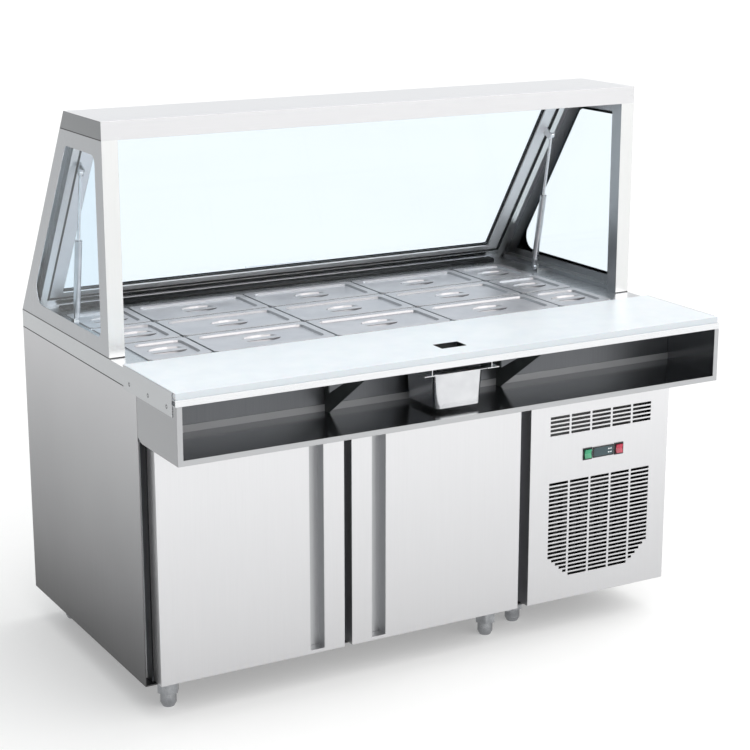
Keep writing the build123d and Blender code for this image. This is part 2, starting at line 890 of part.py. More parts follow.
def make_evaporator():
    """Cooling coil in its case on the partition wall, with a round mouth for the fan."""
    case_left, middle_y, middle_z = evaporator_place()
    low = (middle_y - evaporator_length / 2, middle_z - evaporator_height / 2)
    high = (middle_y + evaporator_length / 2, middle_z + evaporator_height / 2)
    mouth = fan_blade_depth + fan_play
    with BuildPart() as evaporator:
        with BuildSketch(Plane.YZ.offset(case_left)):
            patch(low, high)
        extrude(amount=evaporator_width)
        with BuildSketch(Plane.YZ.offset(case_left)):
            with Locations((middle_y, middle_z)):
                Circle(evaporator_fan_radius + fan_play)
                Circle(fan_spindle, mode=Mode.SUBTRACT)
        extrude(amount=mouth, mode=Mode.SUBTRACT)
    return evaporator.part


def window_points(lap):
    """Gives the four corners of the side window, drawn out all round by the given lap."""
    low = deck_top + window_bottom - lap
    high = seam - window_top + lap
    near = front + canopy_front + window_frame - lap

    def rear(z):
        return back - (z - deck_top) * cos(slope) / sin(slope) - (window_frame - lap) / sin(slope)

    return [(near, low), (rear(low), low), (rear(high), high), (near, high)]


def make_canopy_side(x, way):
    """Side frame: skin with its window, front post, base rail, slope return and strut foot."""
    face_y = front + canopy_front
    drop = cos(slope) / sin(slope)
    hull = [(face_y, deck_top), (back, deck_top), (back - (seam - deck_top) * drop, seam), (face_y, seam)]
    deep = return_depth + sheet
    inner_wall = return_outer - sheet
    rail_top = deck_top + side_rail_height
    base_back = back - return_depth / sin(slope)
    lug = strut_inset - plate_sheet - strut_eye_width / 2 - strut_open_gap
    slope_foot = Plane(origin=(x, back, deck_top), x_dir=(1, 0, 0), z_dir=(0, -cos(slope), sin(slope)))
    with BuildPart() as side:
        with BuildSketch(slope_foot):
            outline([(0, 0), (way * return_outer, 0), (way * return_outer, -return_depth),
                     (way * return_inner, -return_depth), (way * return_inner, -deep),
                     (way * inner_wall, -deep), (way * inner_wall, -sheet), (0, -sheet)])
        extrude(amount=slope_length, both=True)
        with BuildSketch(Plane.YZ.offset(x)):
            outline(hull)
        extrude(amount=way * return_inner, mode=Mode.INTERSECT)
        with BuildSketch(Plane.YZ.offset(x)):
            outline(hull)
        extrude(amount=way * sheet)
        with BuildSketch(Plane.YZ.offset(x)):
            patch((face_y, deck_top), (face_y + post_depth, seam))
        extrude(amount=way * post_width)
        with BuildSketch(Plane.YZ.offset(x)):
            outline([(face_y, deck_top), (base_back, deck_top),
                     (base_back - side_rail_height * drop, rail_top), (face_y, rail_top)])
        extrude(amount=way * side_rail_width)
        with BuildSketch(Plane.YZ.offset(x + way * (lug - strut_plate))):
            patch((strut_foot_y - strut_tube, deck_top),
                  (strut_foot_y + strut_tube, strut_foot_z + strut_tube))
        extrude(amount=way * strut_plate)
        with BuildSketch(Plane.YZ.offset(x)):
            patch((strut_foot_y - strut_tube, deck_top),
                  (strut_foot_y + strut_tube, deck_top + strut_plate))
        extrude(amount=way * lug)
        with BuildSketch(Plane.YZ.offset(x + way * lug)):
            with Locations((strut_foot_y, strut_foot_z)):
                Circle(strut_pin)
        extrude(amount=way * (strut_eye_width + 2 * strut_open_gap))
        with BuildSketch(Plane.YZ.offset(x)) as window:
            outline(window_points(0))
            fillet(window.vertices().sort_by(Axis.X)[:-1], window_corner)
            fillet(window.vertices().sort_by(Axis.X)[-1], window_rear_corner)
        extrude(amount=way * sheet, mode=Mode.SUBTRACT)
    return side.part


def make_side_panes():
    """The two fixed side panes behind their windows."""
    with BuildPart() as panes:
        for x, way in ((body_left + sheet, 1), (body_right - sheet, -1)):
            with BuildSketch(Plane.YZ.offset(x)):
                outline(window_points(pane_lap))
            extrude(amount=way * side_pane)
    return panes.part


def hinge_places():
    """Gives the centres of the three hatch hinges along X."""
    return (-hinge_spacing, 0, hinge_spacing)


def make_canopy_top():
    """Hollow top box with its sloped rear face, the seal lip, the fixed knuckles and their pins."""
    face_y = front + canopy_front
    top_back = face_y + canopy_top_depth
    drop = cos(slope) / sin(slope)
    reach = hinge_moving / 2 + hinge_fixed
    lip_start = hatch_end - gasket_band / 2
    lip_end = seam_along + (return_depth + 2 * sheet) * drop
    lip_depth = return_depth + sheet
    inside = body_left + sheet
    with BuildPart() as top:
        with BuildSketch(Plane.YZ.offset(body_left)):
            outline([(face_y, seam), on_slope(seam_along, 0), (top_back, canopy_top), (face_y, canopy_top)])
        extrude(amount=body_right - body_left)
        with BuildSketch(Plane.YZ.offset(inside)):
            outline([(face_y + sheet, seam), on_slope(seam_along, 0), (top_back - sheet, canopy_top - sheet),
                     (face_y + sheet, canopy_top - sheet)])
            with Locations(on_slope(seam_along, 0)):
                Rectangle(2 * top_rim, 2 * top_box, mode=Mode.SUBTRACT)
        extrude(amount=-2 * inside, mode=Mode.SUBTRACT)
        with BuildSketch(Plane.YZ.offset(body_left + return_inner + fit_gap)):
            outline([on_slope(lip_end, return_depth), on_slope(lip_start, return_depth),
                     on_slope(lip_start, lip_depth), on_slope(lip_end, lip_depth)])
        extrude(amount=body_right - body_left - 2 * (return_inner + fit_gap))
        for x in hinge_places():
            with BuildSketch(Plane.YZ.offset(x - reach)):
                hinge_knuckle()
            extrude(amount=hinge_fixed - fit_gap)
            with BuildSketch(Plane.YZ.offset(x + hinge_moving / 2 + fit_gap)):
                hinge_knuckle()
            extrude(amount=hinge_fixed - fit_gap)
            with BuildSketch(Plane.YZ.offset(x - reach)):
                with Locations((hinge_y, hinge_z)):
                    Circle(hinge_pin)
            extrude(amount=2 * reach)
    return top.part


def make_hatch_frame():
    """Hatch frame with the pane groove, moving knuckles, outer grip and the strut brackets."""
    low = hatch_start + hatch_bottom
    high = hatch_end - hatch_top
    head_along = hatch_end + hinge_rise - strut_head_down
    with BuildPart() as hatch:
        with BuildSketch(slope_plane):
            patch((-hatch_half, hatch_start), (hatch_half, hatch_end))
            patch((-pane_half, low), (pane_half, high), mode=Mode.SUBTRACT)
        extrude(amount=hatch_thickness)
        with BuildSketch(slope_plane.offset(pane_seat)):
            patch((-pane_half - pane_seat, low - pane_seat), (pane_half + pane_seat, high + pane_seat))
        extrude(amount=hatch_pane, mode=Mode.SUBTRACT)
        for x in hinge_places():
            with BuildSketch(Plane.YZ.offset(x - hinge_moving / 2 + fit_gap)):
                with Locations((hinge_y, hinge_z)):
                    Circle(hinge_barrel)
                outline([on_slope(hatch_end, 0), on_slope(hatch_end, hinge_barrel), (hinge_y, hinge_z),
                         on_slope(hatch_end - hinge_barrel, -hinge_out),
                         on_slope(hatch_end - hinge_barrel, 0)])
                with Locations((hinge_y, hinge_z)):
                    Circle(hinge_pin + running_gap, mode=Mode.SUBTRACT)
            extrude(amount=hinge_moving - 2 * fit_gap)
        for way in (-1, 1):
            with BuildSketch(Plane.YZ.offset(way * strut_bracket)):
                outline([on_slope(head_along - bracket_half, hatch_thickness),
                         on_slope(head_along - strut_eye, strut_head_in - hinge_out + strut_eye),
                         on_slope(head_along + strut_eye, strut_head_in - hinge_out + strut_eye),
                         on_slope(head_along + bracket_half, hatch_thickness)])
            extrude(amount=way * strut_plate)
        with BuildSketch(slope_plane.offset(-grip_reach)):
            patch((-grip_length / 2, grip_rise), (grip_length / 2, grip_rise + grip_bar))
        extrude(amount=grip_bar / 2)
        with BuildSketch(slope_plane.offset(-grip_reach)):
            for x in (-grip_length / 2, grip_length / 2 - grip_bar):
                patch((x, grip_rise), (x + grip_bar, grip_rise + grip_bar))
        extrude(amount=grip_reach)
    return hatch.part


def make_hatch_pane():
    """Sloped rear pane in the groove of its frame."""
    with BuildPart() as pane:
        with BuildSketch(slope_plane.offset(pane_seat)):
            patch((-pane_half - pane_seat, hatch_start + hatch_bottom - pane_seat),
                  (pane_half + pane_seat, hatch_end - hatch_top + pane_seat))
        extrude(amount=hatch_pane)
    return pane.part


def make_hatch_gasket():
    """Seal round the inner face of the hatch, which closes on the canopy's returns."""
    low = hatch_start + fit_gap
    high = hatch_end - fit_gap
    edge = hatch_half
    with BuildPart() as gasket:
        with BuildSketch(slope_plane.offset(hatch_thickness)):
            patch((-edge, low), (edge, high))
            patch((gasket_band - edge, low + gasket_band), (edge - gasket_band, high - gasket_band / 2),
                  mode=Mode.SUBTRACT)
        extrude(amount=return_depth - hatch_thickness - fit_gap)
    return gasket.part


def strut_plane(x):
    """Gives a plane on the strut's foot pivot, its normal up the strut."""
    lean = radians(strut_lean)
    return Plane(origin=(x, strut_foot_y, strut_foot_z), x_dir=(1, 0, 0), z_dir=(0, -sin(lean), cos(lean)))


def strut_sides():
    """Gives the x places of the two struts."""
    return (left + strut_inset, right - strut_inset)


def make_strut_tubes():
    """The two gas strut tubes with their foot eyes."""
    with BuildPart() as tubes:
        for x in strut_sides():
            with BuildSketch(strut_plane(x).offset(strut_blind)):
                Circle(strut_tube)
            extrude(amount=strut_tube_length - strut_blind)
            with BuildSketch(Plane.YZ.offset(x - strut_eye_width / 2)):
                with Locations((strut_foot_y, strut_foot_z)):
                    Circle(strut_eye)
            extrude(amount=strut_eye_width)
            with BuildSketch(strut_plane(x)):
                Rectangle(strut_eye_width, strut_eye)
            extrude(amount=strut_blind)
            with BuildSketch(Plane.YZ.offset(x - strut_eye_width)):
                with Locations((strut_foot_y, strut_foot_z)):
                    Circle(strut_pin + running_gap)
            extrude(amount=2 * strut_eye_width, mode=Mode.SUBTRACT)
            with BuildSketch(strut_plane(x).offset(strut_blind + strut_eye)):
                Circle(strut_rod + running_gap)
            extrude(amount=strut_tube_length, mode=Mode.SUBTRACT)
    return tubes.part


def make_strut_rods():
    """The two strut rods with their head eyes, which lie beside the hatch brackets."""
    with BuildPart() as rods:
        for x in strut_sides():
            with BuildSketch(strut_plane(x).offset(strut_rod_inside)):
                Circle(strut_rod)
            extrude(amount=strut_length - strut_rod_inside)
            with BuildSketch(Plane.YZ.offset(x - strut_eye_width / 2)):
                with Locations((strut_head_y, strut_head_z)):
                    Circle(strut_eye)
            extrude(amount=strut_eye_width)
    return rods.part


def make_shelf_box():
    """Open shelf box: sides, floor with its upturned back edge, and the folded front rim."""
    box_front = front - shelf_reach
    floor_under = box_floor - sheet
    with BuildPart() as box:
        with BuildSketch(facing(head_front)):
            patch((box_left, floor_under), (box_right, box_floor))
        extrude(amount=head_front - box_front)
        with BuildSketch(facing(head_front)):
            patch((box_left, floor_under), (box_right, box_floor + box_back_flange))
        extrude(amount=sheet)
        with BuildSketch(facing(box_front + sheet)):
            patch((box_left, box_bottom), (box_right, rail_bottom))
            patch((box_left + box_edge, box_floor), (box_right - box_edge, rail_bottom), mode=Mode.SUBTRACT)
        extrude(amount=sheet)
        for x, way in ((box_left, 1), (box_right, -1)):
            with BuildSketch(Plane.YZ.offset(x)):
                outline([(box_front, box_bottom), (front - 2 * box_edge, box_bottom),
                         (front - fit_gap, floor_under), (front - fit_gap, rail_bottom),
                         (box_front, rail_bottom)])
            extrude(amount=way * plate_sheet)
    return box.part


def make_board_frame():
    """Side plates and folded front rail that carry the board."""
    plate_front = front - shelf_reach + frame_plate_end
    rail_front = front - shelf_reach + rail_setback
    plate_bottom = board_top - frame_plate_drop
    with BuildPart() as frame:
        for x, way in ((left, 1), (right, -1)):
            with BuildSketch(Plane.YZ.offset(x)):
                patch((plate_front, plate_bottom), (front + board_back - board_play, board_top))
            extrude(amount=way * plate_sheet)
        with BuildSketch(Plane.YZ.offset(left)):
            patch((rail_front, rail_bottom), (rail_back, board_bottom))
            patch((rail_front + sheet, rail_bottom + sheet), (rail_back, board_bottom - sheet),
                  mode=Mode.SUBTRACT)
        extrude(amount=overall_width)
    return frame.part


def make_shelf_braces():
    """Two upright strap braces from the box floor to the front rail."""
    leg_back = head_front - sheet
    leg_front = leg_back - brace_leg
    rail_front = front - shelf_reach + rail_setback
    with BuildPart() as braces:
        for place in (brace_left, brace_right):
            with BuildSketch(Plane.YZ.offset(left + place - brace_sheet / 2)):
                outline([(leg_back, box_floor), (leg_back, board_bottom), (leg_front, board_bottom),
                         (leg_front, box_floor + 1.5 * brace_height), (rail_back, rail_bottom + brace_top),
                         (rail_back, rail_bottom), (rail_front + sheet, rail_bottom),
                         (leg_front - brace_top, box_floor + brace_height / 4), (leg_front, box_floor)])
            extrude(amount=brace_sheet)
    return braces.part


def make_cutting_board():
    """White board with its scrap hole."""
    board_front = front - shelf_reach + board_setback
    hole_y = front - shelf_reach + scrap_hole_back
    with BuildPart() as board:
        with BuildSketch(Plane.XY.offset(board_bottom)):
            patch((left + plate_sheet + board_play, board_front),
                  (right - plate_sheet - board_play, front + board_back - board_play))
            with Locations((0, hole_y)):
                Rectangle(scrap_hole_length, scrap_hole_width, mode=Mode.SUBTRACT)
        extrude(amount=board_thickness)
    return board.part


def scrap_places():
    """Gives the scrap pan's middle in y and the underside of its flange."""
    middle_y = head_front - board_play - scrap_flange_length / 2
    return middle_y, rail_bottom - scrap_drop


def make_scrap_pan():
    """Deep scrap pan with rounded corners, hung by its flange."""
    middle_y, flange_z = scrap_places()
    body_x = scrap_flange_width - 2 * scrap_lip
    body_y = scrap_flange_length - 2 * scrap_lip
    with BuildPart() as pan:
        with BuildSketch(Plane((0, middle_y, flange_z))):
            RectangleRounded(scrap_flange_width, scrap_flange_length, scrap_corner)
        extrude(amount=pan_sheet)
        with BuildSketch(Plane((0, middle_y, flange_z))):
            RectangleRounded(body_x, body_y, scrap_corner)
        extrude(amount=-(scrap_depth - pan_sheet), taper=pan_taper)
        with BuildSketch(Plane((0, middle_y, flange_z + pan_sheet))):
            RectangleRounded(body_x - 2 * pan_sheet, body_y - 2 * pan_sheet, scrap_corner - pan_sheet)
        extrude(amount=-(scrap_depth - pan_sheet), taper=pan_taper, mode=Mode.SUBTRACT)
    return pan.part


def make_scrap_runners():
    """Two runners under the board, each a web with a foot plate under the scrap pan's flange."""
    flange_z = scrap_places()[1]
    web = scrap_flange_width / 2 + board_play
    reach_in = scrap_lip - 2 * board_play
    with BuildPart() as runners:
        with BuildSketch(facing(head_front)):
            for way in (-1, 1):
                low_x, high_x = sorted((way * (web - reach_in), way * (web + runner_foot)))
                patch((low_x, flange_z - runner_sheet), (high_x, flange_z))
                low_x, high_x = sorted((way * web, way * (web + runner_sheet)))
                patch((low_x, flange_z - runner_sheet), (high_x, board_bottom))
        extrude(amount=head_front - rail_back)
    return runners.part


def build_all():
    """Makes and writes every piece."""
    green_x, display_x, red_x, control_z = control_places()
    fan_y = body_front + fit_gap + condenser_core + shroud_depth - fan_play
    fan_base = Plane(origin=(machine_centre, fan_y, tray_top + condenser_height / 2), x_dir=(1, 0, 0),
                     z_dir=(0, -1, 0))
    case_left, coil_y, coil_z = evaporator_place()
    coil_base = Plane(origin=(case_left + fan_play / 2, coil_y, coil_z), x_dir=(0, 1, 0), z_dir=(1, 0, 0))
    mullion = (door_one + door_width + door_two) / 2
    cold_left = door_one + door_seat
    cold_right = partition - side_wall

    save(make_levelling_feet(), "levelling_feet")
    save(make_base_tray(), "base_tray")
    save(make_side_skin(body_left), "side_panel_left")
    save(make_side_skin(body_right - sheet), "side_panel_right")
    save(make_back_panel(), "back_panel")
    save(make_insulated_body(), "insulated_body")
    save(make_front_frame(), "front_frame")
    save(make_worktop(), "worktop")
    save(make_pan_bars(), "pan_bars")
    for number, (centre, width) in enumerate(zip(column_centres, column_widths), start=1):
        save(make_pan_column(centre, width), f"pans_column_{number}")
        for row, y in zip(row_names, row_centres):
            save(make_lid(centre, y, width), f"lid_{row}_{number}")
    save(make_door(door_one, True), "door_left")
    save(make_door(door_two, False), "door_right")
    save(make_door_gasket(door_one), "door_gasket_left")
    save(make_door_gasket(door_two), "door_gasket_right")
    save(make_door_hinges(), "door_hinges")
    save(make_shelf(cold_left + shelf_play, mullion - shelf_play), "shelf_left")
    save(make_shelf(mullion + shelf_play, cold_right - shelf_play), "shelf_right")
    save(make_machine_panel(), "machine_panel")
    save(make_control_housings(), "control_housings")
    save(make_rocker(green_x, control_z), "switch_green")
    save(make_rocker(red_x, control_z), "switch_red")
    save(make_condenser(), "condenser")
    save(make_fan(fan_base, fan_radius), "condenser_fan")
    save(make_compressor(), "compressor")
    save(make_evaporator(), "evaporator")
    save(make_fan(coil_base, evaporator_fan_radius), "evaporator_fan")
    save(make_canopy_side(body_left, 1), "canopy_side_left")
    save(make_canopy_side(body_right, -1), "canopy_side_right")
    save(make_canopy_top(), "canopy_top")
    save(make_side_panes(), "side_panes")
    save(make_hatch_frame(), "hatch_frame")
    save(make_hatch_pane(), "hatch_pane")
    save(make_hatch_gasket(), "hatch_gasket")
    save(make_strut_tubes(), "strut_tubes")
    save(make_strut_rods(), "strut_rods")
    save(make_shelf_box(), "shelf_box")
    save(make_board_frame(), "board_frame")
    save(make_shelf_braces(), "shelf_braces")
    save(make_cutting_board(), "cutting_board")
    save(make_scrap_pan(), "scrap_pan")
    save(make_scrap_runners(), "scrap_runners")


os.makedirs("parts", exist_ok=True)
build_all()
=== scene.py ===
import bpy
import bmesh
import math
import numpy as np
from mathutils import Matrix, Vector


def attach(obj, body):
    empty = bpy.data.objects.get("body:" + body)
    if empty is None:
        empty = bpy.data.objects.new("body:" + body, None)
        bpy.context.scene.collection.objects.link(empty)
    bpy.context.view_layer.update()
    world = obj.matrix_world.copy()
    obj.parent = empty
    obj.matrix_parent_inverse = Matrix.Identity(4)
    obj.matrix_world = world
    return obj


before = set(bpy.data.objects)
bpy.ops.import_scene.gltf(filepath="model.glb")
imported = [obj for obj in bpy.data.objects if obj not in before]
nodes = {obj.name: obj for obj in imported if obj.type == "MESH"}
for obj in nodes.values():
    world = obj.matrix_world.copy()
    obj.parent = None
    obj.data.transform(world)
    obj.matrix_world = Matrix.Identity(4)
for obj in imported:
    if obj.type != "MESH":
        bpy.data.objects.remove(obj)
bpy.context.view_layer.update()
print("frame loaded:", len(nodes), "pieces")

# the part's own axes: x to the right, y to the back, z up
xAxis, yAxis, zAxis = np.eye(3)


def linearColour(hexText):
    # sRGB hex to linear: c/12.92 below 0.04045, else ((c + 0.055)/1.055)^2.4
    channels = [int(hexText[i:i + 2], 16) / 255 for i in (1, 3, 5)]
    return [c / 12.92 if c <= 0.04045 else ((c + 0.055) / 1.055) ** 2.4 for c in channels] + [1.0]


def addNode(material, kind, inputs=None, links=None, **settings):
    # one node with its settings, its socket values and the outputs that feed it
    node = material.node_tree.nodes.new(kind)
    for name, value in settings.items():
        setattr(node, name, value)
    for name, value in (inputs or {}).items():
        node.inputs[name].default_value = value
    for name, source in (links or {}).items():
        material.node_tree.links.new(source, node.inputs[name])
    return node


def startMaterial(name, colour, roughness, metallic=0.0, **sockets):
    # a material with only its surface shader; the finish is wired in by the caller
    material = bpy.data.materials.new(name)
    material.use_nodes = True
    shader = material.node_tree.nodes["Principled BSDF"]
    shader.inputs["Base Color"].default_value = linearColour(colour)
    shader.inputs["Roughness"].default_value = roughness
    shader.inputs["Metallic"].default_value = metallic
    for socket, value in sockets.items():
        shader.inputs[socket.replace("_", " ")].default_value = value
    return material, shader


def setRamp(node, stops):
    # colour ramp stops as (place, hex)
    ramp = node.color_ramp
    while len(ramp.elements) < len(stops):
        ramp.elements.new(0.5)
    for element, (place, colour) in zip(ramp.elements, stops):
        element.position = place
        element.color = linearColour(colour)


def gridPiece(name, grid, closeU=False, closeV=False, material=None, smooth=True):
    # a surface from an nu by nv grid of points in metres; quads join each point to its next in u and v
    nu, nv = grid.shape[:2]
    iu = np.arange(nu if closeU else nu - 1)
    iv = np.arange(nv if closeV else nv - 1)
    a, b = np.meshgrid(iu, iv, indexing="ij")
    c, d = (a + 1) % nu, (b + 1) % nv
    quads = np.stack([a * nv + b, c * nv + b, c * nv + d, a * nv + d], -1).reshape(-1, 4)
    mesh = bpy.data.meshes.new(name)
    mesh.from_pydata(grid.reshape(-1, 3).tolist(), [], quads.tolist())
    mesh.polygons.foreach_set("use_smooth", np.full(len(quads), smooth))
    mesh.update()
    piece = bpy.data.objects.new(name, mesh)
    bpy.context.scene.collection.objects.link(piece)
    if material:
        mesh.materials.append(material)
    return piece


def joinPieces(name, pieces):
    # several surfaces as one piece with one mesh
    bpy.ops.object.select_all(action="DESELECT")
    for piece in pieces:
        piece.select_set(True)
    bpy.context.view_layer.objects.active = pieces[0]
    bpy.ops.object.join()
    piece = bpy.context.view_layer.objects.active
    piece.name = name
    piece.data.name = name
    return piece


def turnedPiece(name, profile, centre, axis, material, sides):
    # a profile of (radius, height) carried round a level axis:
    # p = centre + axis*h + r*(u cos t + v sin t)
    axis = np.array(axis, float)
    u = np.cross(axis, zAxis)
    v = np.cross(axis, u)
    t = np.linspace(0, 2 * np.pi, sides, endpoint=False)
    ring = np.cos(t)[:, None] * u + np.sin(t)[:, None] * v
    radius, height = np.array(profile, float).T
    grid = (np.array(centre) + ring[:, None, :] * radius[None, :, None]
            + axis * height[None, :, None])
    return gridPiece(name, grid, closeU=True, material=material)


def sweptPiece(name, path, sideways, outward, profile, material, closed=True, smooth=True):
    # a closed profile of (a, b) carried along a path: p = path + sideways*a + outward*b
    a, b = np.array(profile, float).T
    grid = (np.array(path)[:, None, :] + np.array(sideways)[:, None, :] * a[None, :, None]
            + np.array(outward)[None, None, :] * b[None, :, None])
    return gridPiece(name, grid, closeU=closed, closeV=True, material=material, smooth=smooth)


def closeEnds(piece):
    # fills the open ends of a swept shape and turns every face outward
    work = bmesh.new()
    work.from_mesh(piece.data)
    bmesh.ops.remove_doubles(work, verts=work.verts, dist=1e-7)
    bmesh.ops.holes_fill(work, edges=work.edges, sides=0)
    bmesh.ops.recalc_face_normals(work, faces=work.faces)
    work.to_mesh(piece.data)
    work.free()


def straightStrip(name, ends, sideways, outward, profile, material, smooth=False):
    # a closed profile carried straight from one end to the other, with both ends filled
    strip = sweptPiece(name, ends, [sideways] * 2, outward, profile, material, closed=False,
                       smooth=smooth)
    closeEnds(strip)
    return strip


def softLoop(halfWidth, low, high, radius, steps=7):
    # rounded rectangle: four centres, each with a quarter turn c + r*(cos t, sin t)
    # the second result is (cos t, sin t), which points away from the loop
    start = np.repeat(np.array([-0.5, 0.0, 0.5, 1.0]) * np.pi, steps)
    turn = start + np.tile(np.linspace(0, np.pi / 2, steps), 4)
    east, west = halfWidth - radius, radius - halfWidth
    x = np.repeat([east, east, west, west], steps)
    y = np.repeat([low + radius, high - radius, high - radius, low + radius], steps)
    away = np.stack([np.cos(turn), np.sin(turn)], 1)
    return np.stack([x, y], 1) + radius * away, away


noiseSpan = {"From Min": 0.3, "From Max": 0.7}   # nearly all values of a noise lie between these
bevelSamples = 4


def sideShare(material, place, axis, span, off=0.0, on=1.0):
    # a value that is "on" where a face looks along an axis and "off" elsewhere
    # span holds the parts of the normal on that axis at which it starts to change and is done
    normal = addNode(material, "ShaderNodeSeparateXYZ", links={"Vector": place.outputs["Normal"]})
    size = addNode(material, "ShaderNodeMath", links={0: normal.outputs[axis]}, operation="ABSOLUTE")
    share = addNode(material, "ShaderNodeMapRange",
                    {"From Min": span[0], "From Max": span[1], "To Min": off, "To Max": on},
                    {"Value": size.outputs[0]})
    return share.outputs[0]


def paintLightBySide(material, place, face, tone, axis, span, off=0.0, on=1.0):
    # lays a painted shade over the colour so far, as strongly as sideShare says; a paler tone lays a
    # painted highlight
    share = sideShare(material, place, axis, span, off, on)
    toned = addNode(material, "ShaderNodeMix", {"B": linearColour(tone)}, {"Factor": share, "A": face},
                    data_type="RGBA")
    return toned.outputs["Result"]


def wireFinish(material, shader, face, gloss, pattern, relief, depth, bevel):
    # the end of every finish: edges rounded, the pattern as relief, colour and gloss to the shader
    rounded = addNode(material, "ShaderNodeBevel", {"Radius": bevel}, samples=bevelSamples)
    bump = addNode(material, "ShaderNodeBump", {"Strength": relief, "Distance": depth},
                   {"Height": pattern, "Normal": rounded.outputs[0]})
    for source, socket in ((face, "Base Color"), (gloss, "Roughness"), (bump.outputs[0], "Normal")):
        material.node_tree.links.new(source, shader.inputs[socket])
    return material


brushed = {
    "lineWidth": 0.9,              # mm across a brush line, drawn coarser than its real 0.1 to show
    "lineLength": 140.0,           # mm along a brush line
    "cloud": 420.0,                # mm of the slow unevenness of a rolled sheet
    "lineGloss": (-0.03, 0.04),    # what the lines add to the roughness
    "cloudGloss": (-0.02, 0.03),   # what the clouds add to it
    "depth": 0.0002,               # m, how deep a line is taken to be
    "bevel": 0.0011,               # m, the small radius that a folded sheet edge has
    "facing": (0.75, 0.90),        # parts of the normal between which a face comes to look one way
    "foot": 0.05, "top": 0.80,     # m, heights between which the painted shade of an upright skin changes
}


def brushedSteel(name, colour, darker, roughness, grain, relief=0.02, paintedSideTones=None, paintedFootShade=None,
                 matt=None):
    # cold rolled stainless sheet, belt brushed: fine lines draw the highlights out along the grain
    # each tone given for an axis is painted shade on the faces that look along it, and a paler tone is
    # a painted highlight
    # the pair of factors for the foot and the top of an upright skin is painted shade, darker near the
    # floor, where less light reaches
    # matt is the roughness of the faces that look along y, where a sheet was left unpolished
    material, shader = startMaterial(name, colour, roughness, 1.0)
    scale = [1000 / brushed["lineWidth"]] * 3
    scale["xyz".index(grain)] = 1000 / brushed["lineLength"]
    place = addNode(material, "ShaderNodeTexCoord")
    along = addNode(material, "ShaderNodeMapping", {"Scale": scale},
                    {"Vector": place.outputs["Object"]})
    lines = addNode(material, "ShaderNodeTexNoise", {"Scale": 1.0, "Detail": 3.0, "Roughness": 0.6},
                    {"Vector": along.outputs[0]})
    clouds = addNode(material, "ShaderNodeTexNoise",
                     {"Scale": 1000 / brushed["cloud"], "Detail": 2.0, "Roughness": 0.5},
                     {"Vector": place.outputs["Object"]})
    tint = addNode(material, "ShaderNodeValToRGB", links={"Fac": lines.outputs["Fac"]})
    setRamp(tint, [(0.30, darker), (0.70, colour)])
    low, high = brushed["lineGloss"]
    lineGloss = addNode(material, "ShaderNodeMapRange",
                        {**noiseSpan, "To Min": roughness + low, "To Max": roughness + high},
                        {"Value": lines.outputs["Fac"]})
    low, high = brushed["cloudGloss"]
    cloudGloss = addNode(material, "ShaderNodeMapRange", {**noiseSpan, "To Min": low, "To Max": high},
                         {"Value": clouds.outputs["Fac"]})
    gloss = addNode(material, "ShaderNodeMath",
                    links={0: lineGloss.outputs[0], 1: cloudGloss.outputs[0]}, operation="ADD")
    face = tint.outputs["Color"]
    for axis, tone in (paintedSideTones or {}).items():
        face = paintLightBySide(material, place, face, tone, axis, brushed["facing"])
    # painted shade: the colour is multiplied by a factor that grows from the foot to the top
    if paintedFootShade:
        point = addNode(material, "ShaderNodeSeparateXYZ", links={"Vector": place.outputs["Object"]})
        level = addNode(material, "ShaderNodeMapRange",
                        {"From Min": brushed["foot"], "From Max": brushed["top"],
                         "To Min": paintedFootShade[0], "To Max": paintedFootShade[1]}, {"Value": point.outputs["Z"]})
        shaded = addNode(material, "ShaderNodeMix", {"Factor": 1.0},
                         {"A": face, "B": level.outputs[0]}, data_type="RGBA", blend_type="MULTIPLY")
        face = shaded.outputs["Result"]
    if matt:
        unpolished = sideShare(material, place, "Y", brushed["facing"], on=matt)
        gloss = addNode(material, "ShaderNodeMath", links={0: gloss.outputs[0], 1: unpolished},
                        operation="MAXIMUM")
    return wireFinish(material, shader, face, gloss.outputs[0], lines.outputs["Fac"], relief,
                      brushed["depth"], brushed["bevel"])


drawn = {
    "gloss": (-0.04, 0.05), "glossiest": 0.03,   # what the patches add to the roughness, and its least
    "depth": 0.0005,                             # m, how deep a patch is taken to be
    "flat": (0.90, 0.995),   # parts of the normal on z between which a wall comes to lie flat
}


def smoothSteel(name, colour, darker, roughness, blotch=60.0, relief=0.02, bevel=0.0008,
                paintedWallShade=None):
    # drawn or turned metal, tumbled smooth: no grain, only slow patches of gloss, blotch mm across
    # the last argument is painted shade on the leaning walls, darker than the flats
    material, shader = startMaterial(name, colour, roughness, 1.0)
    place = addNode(material, "ShaderNodeTexCoord")
    patches = addNode(material, "ShaderNodeTexNoise",
                      {"Scale": 1000 / blotch, "Detail": 4.0, "Roughness": 0.55},
                      {"Vector": place.outputs["Object"]})
    tint = addNode(material, "ShaderNodeValToRGB", links={"Fac": patches.outputs["Fac"]})
    setRamp(tint, [(0.30, darker), (0.65, colour)])
    low, high = drawn["gloss"]
    gloss = addNode(material, "ShaderNodeMapRange",
                    {**noiseSpan, "To Min": max(roughness + low, drawn["glossiest"]),
                     "To Max": roughness + high}, {"Value": patches.outputs["Fac"]})
    face = tint.outputs["Color"]
    if paintedWallShade:
        face = paintLightBySide(material, place, face, paintedWallShade, "Z", drawn["flat"], off=1.0, on=0.0)
    return wireFinish(material, shader, face, gloss.outputs[0], patches.outputs["Fac"], relief,
                      drawn["depth"], bevel)


coated = {
    "gloss": (-0.06, 0.06), "glossiest": 0.02,   # what the pebble adds to the roughness, and its least
    "depth": 0.0003,                             # m, how deep a pebble is taken to be
    "patch": 40,                                 # pebbles across a slow patch of the colour
    "flat": (0.0, 1.0),      # parts of the normal on z between which an edge's painted shade fades out
}


